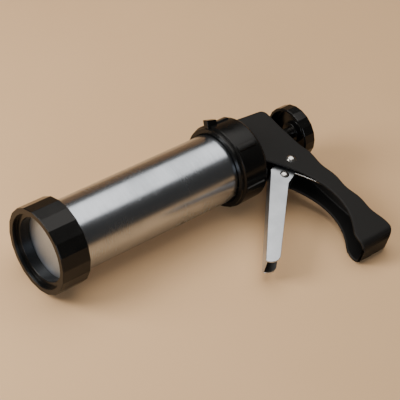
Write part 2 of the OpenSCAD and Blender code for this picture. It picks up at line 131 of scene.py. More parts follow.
class Grain(Enum):
    """Which way a surface's fine lines run. Values are pattern sizes in mm along the row's X, Y and Z."""

    ROUND_GIRTH = (0.45, 26.0, 26.0)
    ALONG_AXIS = (60.0, 0.5, 0.5)
    ALONG_LEVER = (30.0, 0.4, 0.4)
    ACROSS_PLATE = (0.6, 0.5, 24.0)
    NONE = (0.7, 0.7, 0.7)


@dataclass(frozen=True)
class Finish:
    """A real material and how its surface was made.

    Attributes:
        name: The material's common name and process.
        tone: Main sRGB colour.
        tone_low: sRGB colour of its darker patches.
        metallic: 1 for bare metal.
        rough: Roughness where it is cleanest.
        rough_high: Roughness where it is most worn or handled.
        grain: Which way its fine lines run.
        relief: Depth of the fine lines or texture, in mm.
        patch: Size of the patches of handling or uneven polish, in mm.
        turn: Turn of the pattern about the row's Z, in degrees.
        specular: Specular level of a plastic.
        coat: Clear gloss over the surface.
    """

    name: str
    tone: str
    tone_low: str
    metallic: float
    rough: float
    rough_high: float
    grain: Grain = Grain.NONE
    relief: float = 0.01
    patch: float = 14.0
    turn: float = 0.0
    specular: float = 0.5
    coat: float = 0.0

    def build(self) -> bpy.types.Material:
        """Makes the node material.

        Returns:
            The material, with its pattern on Object coordinates.
        """
        material = bpy.data.materials.new(self.name)
        material.use_nodes = True
        tree = material.node_tree
        tree.nodes.clear()
        out = add_node(tree, "ShaderNodeOutputMaterial")
        place = add_node(tree, "ShaderNodeTexCoord").outputs["Object"]
        turned = add_node(
            tree, "ShaderNodeMapping", Vector=place, Rotation=(0.0, 0.0, math.radians(self.turn))
        ).outputs["Vector"]
        lines = add_node(
            tree,
            "ShaderNodeMapping",
            Vector=turned,
            Scale=tuple(1 / (size * MM) for size in self.grain.value),
        ).outputs["Vector"]
        fine = add_node(
            tree, "ShaderNodeTexNoise", Vector=lines, Scale=1.0, Detail=3.0, Roughness=0.6
        ).outputs["Fac"]
        broad = add_node(
            tree, "ShaderNodeTexNoise", Vector=turned, Scale=1 / (self.patch * MM), Detail=4.0, Roughness=0.55
        ).outputs["Fac"]
        both = add_node(
            tree, "ShaderNodeMath", {"operation": "MULTIPLY_ADD"}, i0=fine, i1=0.45, i2=broad
        ).outputs[0]
        share = add_node(
            tree, "ShaderNodeMapRange", Value=both, From_Min=0.45, From_Max=1.0, To_Min=0.0, To_Max=1.0
        ).outputs[0]
        rough = add_node(
            tree, "ShaderNodeMapRange", Value=share, From_Min=0.0, From_Max=1.0,
            To_Min=self.rough, To_Max=self.rough_high,
        ).outputs[0]
        colour = add_node(tree, "ShaderNodeMix", {"data_type": "RGBA"}, i0=share)
        colour.inputs[6].default_value = linear(self.tone)
        colour.inputs[7].default_value = linear(self.tone_low)
        bump = add_node(
            tree, "ShaderNodeBump", Height=fine, Strength=1.0, Distance=self.relief * MM
        ).outputs["Normal"]
        shader = add_node(
            tree,
            "ShaderNodeBsdfPrincipled",
            Base_Color=colour.outputs[2],
            Roughness=rough,
            Metallic=self.metallic,
            Specular_IOR_Level=self.specular,
            Normal=bump,
        )
        if self.coat:
            shader.inputs["Coat Weight"].default_value = self.coat
            shader.inputs["Coat Roughness"].default_value = 0.06
        tree.links.new(shader.outputs[0], out.inputs["Surface"])
        return material


# Glass-filled nylon from a spark-eroded mould: satin black with a faint even tooth.
MOULDED_BLACK = Finish(
    "glass_filled_nylon_satin", "#121211", "#181716", 0.0, 0.5, 0.6, relief=0.012, patch=22.0, specular=0.2
)
# ABS from a polished mould: deep black that mirrors the softbox, dulled a little by hands.
GLOSS_BLACK = Finish(
    "abs_polished_black", "#0c0c0c", "#131312", 0.0, 0.16, 0.27, relief=0.002, patch=17.0, specular=0.2
)
# 304 stainless tube, belt-brushed round its girth: soft broad bands of light.
TUBE_STEEL = Finish(
    "stainless_tube_brushed", "#b3b9c1", "#9ca2a9", 1.0, 0.2, 0.3, Grain.ROUND_GIRTH,
    relief=0.0012, patch=30.0,
)
# 304 stainless sheet, linished along its length before it was folded.
LEVER_STEEL = Finish(
    "stainless_sheet_satin", "#bfc4ca", "#a8adb3", 1.0, 0.3, 0.4, Grain.ALONG_LEVER, relief=0.0015,
    patch=16.0, turn=-46.5,
)
# The same sheet on its inside: rougher, as mill-finished sheet. Its darker colour is painted shade for the shade
# that falls inside the fold.
INSIDE_PAINTED_SHADE_STEEL = Finish(
    "stainless_sheet_mill_side_painted_shade", "#6f6f6e", "#585857", 1.0, 0.5, 0.62, relief=0.003, patch=9.0
)
# Stainless disc, brushed flat before it was stamped.
PLATE_STEEL = Finish(
    "stainless_plate_brushed", "#c3ccd6", "#b0b9c2", 1.0, 0.44, 0.54, Grain.ACROSS_PLATE,
    relief=0.0012, patch=20.0,
)
# Nickel-plated steel rivet, domed by the riveting tool.
RIVET_STEEL = Finish("nickel_plated_rivet", "#d2d1ce", "#b4b2ae", 1.0, 0.16, 0.3, relief=0.004, patch=2.5)
# Cold-drawn steel rod, with draw lines along it.
ROD_STEEL = Finish(
    "cold_drawn_steel", "#a3a19c", "#86847f", 1.0, 0.24, 0.38, Grain.ALONG_AXIS, relief=0.0015, patch=18.0
)
# Case-hardened steel, oiled dark grey.
HARD_STEEL = Finish("case_hardened_steel", "#6d6a66", "#4f4c49", 1.0, 0.34, 0.5, relief=0.004, patch=5.0)
# Music wire, drawn bright.
SPRING_STEEL = Finish("spring_wire_bright", "#b5b2aa", "#8f8c86", 1.0, 0.22, 0.34, relief=0.002, patch=6.0)
# Nitrile rubber, moulded and matt.
BLACK_RUBBER = Finish("nitrile_rubber", "#191919", "#222221", 0.0, 0.62, 0.8, relief=0.01, patch=9.0)
# Undyed nylon 6, machined: ivory and slightly waxy.
NATURAL_NYLON = Finish("natural_nylon", "#d9d3c4", "#cbc4b3", 0.0, 0.42, 0.55, relief=0.006, patch=8.0)
# Matt painted board that the gun lies on.
PALE_BOARD = Finish(
    "painted_board_matt", "#dab489", "#d6b085", 0.0, 0.85, 0.95, relief=0.004, patch=160.0, specular=0.2
)


class Wardrobe:
    """Builds each finish once and hands it to the pieces that wear it."""

    def __init__(self) -> None:
        """Starts with no material made."""
        self.made: dict[str, bpy.types.Material] = {}

    def get(self, finish: Finish) -> bpy.types.Material:
        """Returns the finish's material, making it the first time."""
        if finish.name not in self.made:
            self.made[finish.name] = finish.build()
        return self.made[finish.name]

    def dress(self, piece: bpy.types.Object, finish: Finish) -> None:
        """Gives the whole piece one finish."""
        piece.data.materials.clear()
        piece.data.materials.append(self.get(finish))


WARDROBE = Wardrobe()


# ---------------------------------------------------------------- mesh helpers


def new_piece(name: str, mesh: bmesh.types.BMesh, turn_out: bool = True) -> bpy.types.Object:
    """Makes a smooth-shaded object at the origin from a bmesh, and frees the bmesh.

    Args:
        name: The piece's name.
        mesh: Its shape, in the row frame, in metres.
        turn_out: Whether to turn its faces outwards.

    Returns:
        The new object.
    """
    if turn_out:
        bmesh.ops.recalc_face_normals(mesh, faces=mesh.faces)
    for face in mesh.faces:
        face.smooth = True
    data = bpy.data.meshes.new(name)
    mesh.to_mesh(data)
    mesh.free()
    piece = bpy.data.objects.new(name, data)
    bpy.context.scene.collection.objects.link(piece)
    return piece


def even_normals(piece: bpy.types.Object, sharp: Optional[float] = None) -> None:
    """Lets large faces set the shading, so that flats stay flat between their rounded edges.

    Args:
        piece: The object.
        sharp: Angle in degrees from which an edge stays sharp, or None for none.
    """
    if sharp is not None:
        piece.data.set_sharp_from_angle(angle=math.radians(sharp))
    weighted = piece.modifiers.new("even_normals", "WEIGHTED_NORMAL")
    weighted.weight = 90
    weighted.keep_sharp = True


def rounded(corners: Sequence[Corner], steps: int = 3) -> list[tuple[float, float]]:
    """Rounds the corners of a closed profile.

    Args:
        corners: Radius, place along the axis and rounding radius of each corner, in mm.
        steps: Number of short edges that each rounding gets.

    Returns:
        The rounded profile as (radius, place) points.
    """
    made: list[tuple[float, float]] = []
    count = len(corners)
    for i, (r, x, fillet) in enumerate(corners):
        here = Vector((r, x))
        to_last = (Vector(corners[i - 1][:2]) - here).normalized()
        to_next = (Vector(corners[(i + 1) % count][:2]) - here).normalized()
        half = to_last.angle(to_next) / 2
        if fillet <= 0 or half > math.radians(89.5):
            made.append((r, x))
            continue
        middle = (to_last + to_next).normalized()
        centre = here + middle * fillet / math.sin(half)
        first = here + to_last * fillet / math.tan(half) - centre
        last = here + to_next * fillet / math.tan(half) - centre
        for k in range(steps + 1):
            spoke = first.lerp(last, k / steps).normalized() * fillet
            made.append(tuple(centre + spoke))
    return made


@dataclass(frozen=True)
class Flats:
    """Flats round a turned piece, with slightly rounded corners between them.

    Attributes:
        count: Number of flats.
        phase: Angle of the middle of the first flat, from the gun's left, in degrees.
        corner: Rounding radius of the corners between the flats, in mm.
    """

    count: int
    phase: float
    corner: float

    def angles(self, to_flat: float) -> list[float]:
        """Lists the angles, in radians, at which the piece gets a row of points."""
        half = math.pi / self.count
        edge = math.atan((to_flat - self.corner) * math.tan(half) / to_flat)
        local = [edge * share for share in (-1.0, -0.6, -0.2, 0.2, 0.6, 1.0)]
        local += [(edge + half) / 2, half, 1.5 * half - edge / 2]
        return [math.radians(self.phase) + 2 * half * i + a for i in range(self.count) for a in local]

    def radius(self, to_flat: float, angle: float) -> float:
        """Gives the distance from the axis to the outside, for a flat at to_flat."""
        half = math.pi / self.count
        local = abs((angle - math.radians(self.phase) + half) % (2 * half) - half)
        rounding = self.corner
        edge = math.atan((to_flat - rounding) * math.tan(half) / to_flat)
        if local <= edge:
            return to_flat / math.cos(local)
        reach, aside = (to_flat - rounding) / math.cos(half), half - local
        return reach * math.cos(aside) + math.sqrt(rounding**2 - (reach * math.sin(aside)) ** 2)


def lathe(
    name: str,
    profile: Sequence[tuple[float, float]],
    steps: int = 144,
    flats: Optional[Flats] = None,
    flat_from: float = 0.0,
) -> bpy.types.Object:
    """Turns a closed profile round the barrel's axis.

    Args:
        name: The piece's name.
        profile: (radius, place) points in mm, where a radius of 0 is a point on the axis.
        steps: Number of rows of points round the axis, where there are no flats.
        flats: Flats that the outside gets.
        flat_from: Radius from which a profile point belongs to the flats, in mm.

    Returns:
        The new object.
    """
    angles = (
        flats.angles(max(r for r, _ in profile)) if flats else [2 * math.pi * i / steps for i in range(steps)]
    )
    mesh = bmesh.new()
    rings: list[list[bmesh.types.BMVert]] = []
    for r, x in profile:
        if r < 1e-6:
            rings.append([mesh.verts.new(lay(x, 0, 0))])
            continue
        ring = []
        for angle in angles:
            out = flats.radius(r, angle) if flats and r >= flat_from else r
            ring.append(mesh.verts.new(lay(x, out * math.cos(angle), out * math.sin(angle))))
        rings.append(ring)
    count = len(angles)
    for here, after in zip(rings, rings[1:] + rings[:1]):
        if len(here) == len(after) == 1:
            continue
        for i in range(count):
            j = (i + 1) % count
            loop = [here[i % len(here)], here[j % len(here)], after[j % len(after)], after[i % len(after)]]
            mesh.faces.new(list(dict.fromkeys(loop)))
    return new_piece(name, mesh)


def copied(name: str, node: str) -> bmesh.types.BMesh:
    """Copies a CAD node's mesh, merged, with its flat faces made whole.

    Args:
        name: The piece's name, for the log.
        node: The CAD node.

    Returns:
        The copy as a bmesh.
    """
    mesh = bmesh.new()
    mesh.from_mesh(frame["nodes"][node].data)
    bmesh.ops.remove_doubles(mesh, verts=mesh.verts, dist=1e-6)
    bmesh.ops.dissolve_limit(mesh, angle_limit=math.radians(0.4), verts=mesh.verts, edges=mesh.edges)
    LOG.debug("%s: %d faces from %s", name, len(mesh.faces), node)
    return mesh


def bevelled_copy(
    name: str,
    node: str,
    width: float,
    pick: Optional[Callable[[Vector], bool]] = None,
    angle: float = 35.0,
    steps: int = 2,
) -> bpy.types.Object:
    """Makes a copy of a CAD node with its edges broken, to stand in for it.

    Args:
        name: The piece's name.
        node: The CAD node that it replaces.
        width: Width of the broken edge, in mm.
        pick: Says of a point, in mm in the gun's frame, whether edges there are broken.
        angle: Angle from which an edge counts, in degrees.
        steps: Number of short faces across each broken edge.

    Returns:
        The new object.
    """
    mesh = copied(name, node)
    weight = mesh.edges.layers.float.new("bevel_weight_edge")
    back = GUN.transposed()
    for edge in mesh.edges:
        if len(edge.link_faces) == 2 and edge.calc_face_angle(0.0) > math.radians(angle):
            ends = [back @ v.co / MM for v in edge.verts]
            if pick is None or all(pick(p) for p in ends):
                edge[weight] = 1.0
    piece = new_piece(name, mesh, turn_out=False)
    broken = piece.modifiers.new("broken_edges", "BEVEL")
    broken.limit_method = "WEIGHT"
    broken.width = width * MM
    broken.segments = steps
    broken.use_clamp_overlap = False
    broken.miter_outer = "MITER_ARC"
    even_normals(piece, 30.0)
    return piece


def place(
    piece: bpy.types.Object,
    body: str,
    finish: Finish,
    slot: str,
    *nodes: str,
) -> bpy.types.Object:
    """Dresses a piece, sets it on its body and says which CAD nodes it stands for.

    Args:
        piece: The object.
        body: The CAD body that it moves with.
        finish: Its finish.
        slot: The record's material slot; not used.
        *nodes: The CAD nodes that it replaces.

    Returns:
        The piece.
    """
    WARDROBE.dress(piece, finish)
    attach(piece, body)
    if nodes:
        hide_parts(*nodes)
    LOG.info("%s on %s: %d faces", piece.name, body, len(piece.data.polygons))
    return piece


# ---------------------------------------------------------------- Geometry Nodes


def tree_with_inputs(
    name: str, sockets: Sequence[tuple[str, str]]
) -> tuple[bpy.types.NodeTree, dict[str, str]]:
    """Makes a Geometry Nodes tree with named inputs.

    Args:
        name: The tree's name.
        sockets: Name and socket type of each input after the geometry.

    Returns:
        The tree, and the identifier of each input by its name.
    """
    tree = bpy.data.node_groups.new(name, "GeometryNodeTree")
    tree.interface.new_socket("Geometry", in_out="INPUT", socket_type="NodeSocketGeometry")
    tree.interface.new_socket("Geometry", in_out="OUTPUT", socket_type="NodeSocketGeometry")
    found = {}
    for label, kind in sockets:
        found[label] = tree.interface.new_socket(label, in_out="INPUT", socket_type=kind).identifier
    return tree, found


class Repeater:
    """Repeats a shape round an axis, as for grip pads and the two heads of a rivet."""

    def __init__(self) -> None:
        """Builds the tree."""
        self.tree, self.inputs = tree_with_inputs(
            "repeat_round_axis",
            [
                ("Count", "NodeSocketInt"),
                ("Step", "NodeSocketFloat"),
                ("Centre", "NodeSocketVector"),
                ("Axis", "NodeSocketVector"),
                ("Material", "NodeSocketMaterial"),
            ],
        )
        tree = self.tree
        given = add_node(tree, "NodeGroupInput").outputs
        away = add_node(
            tree, "ShaderNodeVectorMath", {"operation": "SCALE"}, i0=given["Centre"], Scale=-1.0
        ).outputs[0]
        at_axis = add_node(tree, "GeometryNodeTransform", Geometry=given["Geometry"], Translation=away)
        points = add_node(tree, "GeometryNodePoints", Count=given["Count"], Position=given["Centre"])
        index = add_node(tree, "GeometryNodeInputIndex").outputs[0]
        angle = add_node(
            tree, "ShaderNodeMath", {"operation": "MULTIPLY"}, i0=index, i1=given["Step"]
        ).outputs[0]
        turn = add_node(tree, "FunctionNodeAxisAngleToRotation", Axis=given["Axis"], Angle=angle)
        copies = add_node(
            tree,
            "GeometryNodeInstanceOnPoints",
            Points=points.outputs[0],
            Instance=at_axis.outputs[0],
            Rotation=turn.outputs[0],
        )
        real = add_node(tree, "GeometryNodeRealizeInstances", Geometry=copies.outputs[0])
        dressed = add_node(
            tree, "GeometryNodeSetMaterial", Geometry=real.outputs[0], Material=given["Material"]
        )
        add_node(tree, "NodeGroupOutput", Geometry=dressed.outputs[0])

    def repeat(
        self, piece: bpy.types.Object, count: int, centre: Vector, axis: Vector, finish: Finish
    ) -> None:
        """Turns one shape into count of them, spread evenly, as plain mesh.

        Args:
            piece: The object with the first shape.
            count: How many there are in all.
            centre: A point on the axis, in the row frame, in metres.
            axis: The axis's direction.
            finish: The finish that they get.
        """
        run_tree(
            piece,
            self.tree,
            {
                self.inputs["Count"]: count,
                self.inputs["Step"]: 2 * math.pi / count,
                self.inputs["Centre"]: centre,
                self.inputs["Axis"]: axis,
                self.inputs["Material"]: WARDROBE.get(finish),
            },
        )


class Sweeper:
    """Draws round wire or a rib along a path, as for springs and rolled threads."""

    def __init__(self) -> None:
        """Builds the tree."""
        self.tree, self.inputs = tree_with_inputs(
            "wire_on_path",
            [("Radius", "NodeSocketFloat"), ("Sides", "NodeSocketInt"), ("Material", "NodeSocketMaterial")],
        )
        tree = self.tree
        given = add_node(tree, "NodeGroupInput").outputs
        path = add_node(tree, "GeometryNodeMeshToCurve", Mesh=given["Geometry"])
        section = add_node(
            tree, "GeometryNodeCurvePrimitiveCircle", Resolution=given["Sides"], Radius=given["Radius"]
        )
        swept = add_node(
            tree,
            "GeometryNodeCurveToMesh",
            Curve=path.outputs[0],
            Profile_Curve=section.outputs[0],
            Fill_Caps=True,
        )
        real = add_node(tree, "GeometryNodeRealizeInstances", Geometry=swept.outputs[0])
        dressed = add_node(
            tree, "GeometryNodeSetMaterial", Geometry=real.outputs[0], Material=given["Material"]
        )
        add_node(tree, "NodeGroupOutput", Geometry=dressed.outputs[0])

    def sweep(
        self, name: str, points: Sequence[Vector], radius: float, finish: Finish, sides: int = 14
    ) -> bpy.types.Object:
        """Draws a wire along points.

        Args:
            name: The piece's name.
            points: The wire's middle line, in the row frame, in metres.
            radius: The wire's radius, in mm.
            finish: The wire's finish.
            sides: Number of sides of its section.

        Returns:
            The wire as an object with a plain mesh.
        """
        data = bpy.data.meshes.new(name)
        data.from_pydata([tuple(p) for p in points], [(i, i + 1) for i in range(len(points) - 1)], [])
        piece = bpy.data.objects.new(name, data)
        bpy.context.scene.collection.objects.link(piece)
        run_tree(
            piece,
            self.tree,
            {
                self.inputs["Radius"]: radius * MM,
                self.inputs["Sides"]: sides,
                self.inputs["Material"]: WARDROBE.get(finish),
            },
        )
        for face in piece.data.polygons:
            face.use_smooth = True
        even_normals(piece, 50.0)
        return piece


def run_tree(piece: bpy.types.Object, tree: bpy.types.NodeTree, values: dict[str, object]) -> None:
    """Runs a Geometry Nodes tree on a piece and keeps the result as its plain mesh.

    Args:
        piece: The object.
        tree: The tree.
        values: Values of its inputs by identifier.
    """
    modifier = piece.modifiers.new(tree.name, "NODES")
    modifier.node_group = tree
    for key, value in values.items():
        modifier[key] = value
    ready = piece.evaluated_get(bpy.context.evaluated_depsgraph_get())
    made = bpy.data.meshes.new_from_object(ready)
    piece.modifiers.remove(modifier)
    piece.data = made


def joined(name: str, *parts: bpy.types.Object) -> bpy.types.Object:
    """Puts several plain meshes together as one piece.

    Args:
        name: The new piece's name.
        *parts: The objects, which are removed.

    Returns:
        The new object.
    """
    mesh = bmesh.new()
    for part in parts:
        mesh.from_mesh(part.data)
        bpy.data.objects.remove(part)
    return new_piece(name, mesh)


# ---------------------------------------------------------------- the gun's sub-assemblies


@dataclass
class Stations:
    """Places along the barrel's axis and radii that several pieces share, in mm."""

    barrel_r: float = 25.4
    bore_r: float = 24.6
    thread_bore: float = 26.1
    outer_r: float = 30.7
    gasket_front: float = -4.7
    barrel_front: float = -5.9
    sleeve_end: float = -11.0
    ring_back: float = -22.0
    collar_front: float = -153.2
    collar_back: float = -176.7
    barrel_back: float = -168.9
    flange_front: float = -170.1
    head_front: float = -177.3
    knob_front: float = -222.9
    knob_back: float = -232.4
    thread_lead: float = 5.0
    floor_side: float = 190.813  # angle from the gun's left at which it rests, in degrees


@dataclass
class ScrewRing:
    """The faceted ring at the mouth, with its stepped seat, sleeve and gasket."""

    at: Stations
    flats: int = 20
    seat_r: float = 26.8
    seat_x: float = -3.3
    mouth_r: float = 23.0
    sleeve_r: float = 24.3
    corner: float = 0.45

    def build(self) -> None:
        """Builds and dresses the ring. The gasket keeps its CAD mesh."""
        a = self.at
        profile = rounded(
            [
                (a.outer_r, 0.0, 0.55),
                (a.outer_r, a.ring_back, 0.7),
                (a.thread_bore, a.ring_back, 0.4),
                (a.thread_bore, a.gasket_front, 0.1),
                (self.sleeve_r, a.gasket_front, 0.1),
                (self.sleeve_r, a.sleeve_end, 0.3),
                (self.mouth_r, a.sleeve_end, 0.3),
                (self.mouth_r, self.seat_x, 0.5),
                (self.seat_r, self.seat_x, 0.12),
                (self.seat_r, 0.0, 0.35),
            ]
        )
        ring = lathe(
            "screw_ring", profile, flats=Flats(self.flats, a.floor_side, self.corner), flat_from=a.outer_r - 1.0
        )
        even_normals(ring)
        place(ring, "ring", GLOSS_BLACK, "gloss_black", "front_ring")
        WARDROBE.dress(frame["nodes"]["front_gasket"], BLACK_RUBBER)


@dataclass
class Barrel:
    """The steel tube with the threads rolled into its two ends."""

    at: Stations
    sweeper: Sweeper
    turns: float = 2.4
    end_margin: float = 2.5

    def thread(self, name: str, start: float) -> bpy.types.Object:
        """Sweeps one rolled thread.

        Args:
            name: The thread's name.
            start: Where its first turn starts, along the axis, in mm.

        Returns:
            The thread as an object.
        """
        a = self.at
        steps = int(72 * self.turns)
        points = []
        for i in range(steps + 1):
            turned = self.turns * i / steps
            sink = 0.45 * max(0.0, 1 - min(i, steps - i) / 12)  # the thread fades out at its ends
            angle = 2 * math.pi * turned
            r = a.barrel_r - 0.45 - sink
            x = start - turned * a.thread_lead
            points.append(lay(x, r * math.cos(angle), r * math.sin(angle)))
        return self.sweeper.sweep(name, points, 0.88, TUBE_STEEL, 12)

    def build(self) -> None:
        """Builds the tube with both threads as one piece."""
        a = self.at
        tube = lathe(
            "tube",
            rounded(
                [
                    (a.barrel_r, a.barrel_front, 0.25),
                    (a.barrel_r, a.barrel_back, 0.25),
                    (a.bore_r, a.barrel_back, 0.2),
                    (a.bore_r, a.barrel_front, 0.2),
                ]
            ),
            steps=180,
        )
        front = self.thread("front_thread", a.barrel_front - self.end_margin + 1.0)
        back = self.thread("back_thread", a.barrel_back + self.end_margin + self.turns * a.thread_lead - 1.0)
        whole = joined("steel_barrel", tube, front, back)
        even_normals(whole)
        place(whole, "barrel", TUBE_STEEL, "barrel_steel", "barrel_tube")


@dataclass
class RearCollar:
    """The grip collar behind the barrel: a body with a thin lip, six pads and a wedge."""

    at: Stations
    repeater: Repeater
    flange_r: float = 29.18
    lip_r: float = 27.08
    front_lip_r: float = 29.5
    pads: int = 6
    pad_angle: float = 10.0
    pad_turn: float = -22.0
    pad_h: float = 0.9
    wedge_h: float = 4.8

    def body(self) -> bpy.types.Object:
        """Turns the collar's body."""
        a = self.at
        front, back = a.collar_front, a.collar_back
        return lathe(
            "collar_body",
            rounded(
                [
                    (self.front_lip_r, front, 0.35),
                    (self.front_lip_r, front - 1.5, 0.3),
                    (self.front_lip_r - 0.6, front - 1.9, 0.15),
                    (self.front_lip_r - 0.6, front - 2.4, 0.15),
                    (a.outer_r, front - 3.4, 0.4),
                    (a.outer_r - 0.5, back + 0.05, 1.4),
                    (self.lip_r, back, 0.3),
                    (self.lip_r, back + 2.2, 0.2),
                    (self.flange_r, back + 2.2, 0.2),
                    (self.flange_r, a.flange_front + 0.4, 0.2),
                    (a.thread_bore, a.flange_front + 0.4, 0.2),
                    (a.thread_bore, front, 0.35),
                ],
                4,
            ),
            steps=180,
        )

    def pad(self) -> bpy.types.Object:
        """Builds the first grip pad, with sloping sides and softened edges."""
        a = self.at
        front, back = a.collar_front - 3.8, a.collar_back + 3.4
        low, high = a.outer_r - 1.0, a.outer_r + self.pad_h
        middle, half = math.radians(self.pad_turn), math.radians(self.pad_angle / 2)
        slope = math.radians(1.6)
        levels = [(low, 0.0, 0.0), (high - 0.35, 0.35, 0.6), (high - 0.1, 0.5, 0.85), (high - 0.02, 0.75, 1.15)]
        mesh = bmesh.new()
        columns = 13
        loops = []
        for r, inset, turn_in in levels:
            near, far = half - slope * turn_in, -half + slope * turn_in
            loop = [(r, near + (far - near) * i / (columns - 1), front - inset) for i in range(columns)]
            loop += [(r, far + (near - far) * i / (columns - 1), back + inset) for i in range(columns)]
            loops.append(
                [
                    mesh.verts.new(lay(x, radius * math.cos(middle + t), radius * math.sin(middle + t)))
                    for radius, t, x in loop
                ]
            )
        count = 2 * columns
        for here, after in zip(loops, loops[1:]):
            for i in range(count):
                j = (i + 1) % count
                mesh.faces.new([here[i], here[j], after[j], after[i]])
        top = loops[-1]
        for i in range(columns - 1):
            mesh.faces.new([top[i], top[i + 1], top[count - 2 - i], top[count - 1 - i]])
        base = loops[0]
        for i in range(columns - 1):
            mesh.faces.new([base[i + 1], base[i], base[count - 1 - i], base[count - 2 - i]])
        return new_piece("collar_pad", mesh)

    def wedge(self) -> bpy.types.Object:
        """Builds the small wedge on the pad next to the first."""
        a = self.at
        turn = math.radians(self.pad_turn + 360 / self.pads)
        out = Vector((0, math.cos(turn), math.sin(turn)))
        side = Vector((0, -math.sin(turn), math.cos(turn)))
        f, r = a.collar_front, a.outer_r
        outline = [
            (f - 0.8, r - 2.2), (f - 1.4, r + self.wedge_h), (f - 9.5, r + self.wedge_h - 2), (f - 10, r - 2.2)
        ]
        mesh = bmesh.new()
        rows = [
            [mesh.verts.new(lay(*(Vector((x, 0, 0)) + out * h + side * s))) for x, h in outline]
            for s in (-2.4, 2.4)
        ]
        mesh.faces.new(rows[0])
        mesh.faces.new(rows[1][::-1])
        for i in range(4):
            j = (i + 1) % 4
            mesh.faces.new([rows[0][j], rows[0][i], rows[1][i], rows[1][j]])
        bmesh.ops.recalc_face_normals(mesh, faces=mesh.faces)
        bmesh.ops.bevel(mesh, geom=list(mesh.edges), offset=0.4 * MM, segments=3, profile=0.5, affect="EDGES")
        return new_piece("collar_wedge", mesh)

    def build(self) -> None:
        """Builds and dresses the collar as one piece."""
        pads = self.pad()
        self.repeater.repeat(pads, self.pads, Vector((0, 0, 0)), Vector((1, 0, 0)), GLOSS_BLACK)
        whole = joined("grip_collar", self.body(), pads, self.wedge())
        even_normals(whole, 40.0)
        place(whole, "collar", GLOSS_BLACK, "gloss_black", "rear_collar")


@dataclass
class Housing:
    """The moulded head and handle, with its bushes, its rivet and the parts inside."""

    at: Stations
    repeater: Repeater
    width: float = 21.0
    edge: float = 0.8
    foot_top: float = -106.0
    pivot: tuple[float, float] = (-201.2, -26.3)
    hold_pin: tuple[float, float] = (-185.7, -11.0)
    head_r: float = 3.7
    head_h: float = 1.8

    def on_outline(self, p: Vector) -> bool:
        """Says whether a point lies on the long edges of the moulding, away from its holes."""
        in_foot = p.z < self.foot_top
        if (abs(p.y) < 8.2 and not in_foot) or p.x > self.at.head_front - 0.05:
            return False
        near_pivot = math.hypot(p.x - self.pivot[0], p.z - self.pivot[1]) < 3.0
        near_pin = math.hypot(p.x - self.hold_pin[0], p.z - self.hold_pin[1]) < 2.5
        return not (near_pivot or near_pin)

    def build(self) -> None:
        """Builds and dresses everything that is fixed to the housing."""
        shell = bevelled_copy("handle_moulding", "housing", self.edge, self.on_outline, steps=3)
        place(shell, "housing", MOULDED_BLACK, "moulded_black", "housing")
        heads = rivet_heads(
            "pivot_rivet_heads", self.repeater, self.pivot, self.width / 2, self.head_r, self.head_h, 2.0
        )
        place(heads, "housing", RIVET_STEEL, "rivet_steel", "pivot_rivet")
        for node in ("front_bush", "rear_bush", "pivot_washers"):
            place(bevelled_copy("turned_" + node, node, 0.2), "housing", NATURAL_NYLON, "natural_nylon", node)
        pin = bevelled_copy("small_pin", "holding_pawl_pin", 0.15)
        place(pin, "housing", RIVET_STEEL, "rivet_steel", "holding_pawl_pin")
        WARDROBE.dress(frame["nodes"]["rear_gasket"], BLACK_RUBBER)
        WARDROBE.dress(frame["nodes"]["holding_pawl_spring"], SPRING_STEEL)
        hook = bevelled_copy("holding_pawl_plate", "holding_pawl", 0.15)
        place(hook, "holding_pawl", HARD_STEEL, "pawl_steel", "holding_pawl")


def rivet_heads(
    name: str,
    repeater: Repeater,
    pivot: tuple[float, float],
    half: float,
    radius: float,
    height: float,
    shank: float,
) -> bpy.types.Object:
    """Builds a rivet: its shank and the two domed heads.

    Args:
        name: The piece's name.
        repeater: What copies the first half to the other side.
        pivot: The rivet's x and z in the gun's frame, in mm.
        half: Half the distance between the heads, in mm.
        radius: Radius of a head, in mm.
        height: Height of a head, in mm.
        shank: Radius of the shank, in mm.

    Returns:
        The rivet as one object.
    """
    dome = (radius**2 + height**2) / (2 * height)
    outline = [(0.0, 0.0), (shank, 0.0), (shank, half), (radius - 0.12, half), (radius - 0.02, half + 0.05)]
    start = math.asin((radius - 0.02) / dome)
    for i in range(1, 9):
        a = start * (1 - i / 8)
        outline.append((dome * math.sin(a), half + height - dome + dome * math.cos(a)))
    mesh = bmesh.new()
    steps, rings = 40, []
    for r, y in outline:
        turns = [0.0] if r < 1e-6 else [2 * math.pi * i / steps for i in range(steps)]
        rings.append(
            [mesh.verts.new(lay(pivot[0] + r * math.cos(t), y, pivot[1] + r * math.sin(t))) for t in turns]
        )
    for here, after in zip(rings[1:], rings[2:]):
        for i in range(steps):
            j = (i + 1) % steps
            corners = [here[i], here[j], after[j % len(after)], after[i % len(after)]]
            mesh.faces.new(list(dict.fromkeys(corners)))
    mesh.verts.remove(rings[0][0])
    piece = new_piece(name, mesh, turn_out=False)
    repeater.repeat(piece, 2, lay(pivot[0], 0, pivot[1]), Vector((1, 0, 0)), RIVET_STEEL)
    whole = bmesh.new()
    whole.from_mesh(piece.data)
    bmesh.ops.remove_doubles(whole, verts=whole.verts, dist=1e-6)
    bpy.data.objects.remove(piece)
    made = new_piece(name, whole)
    even_normals(made, 50.0)
    return made


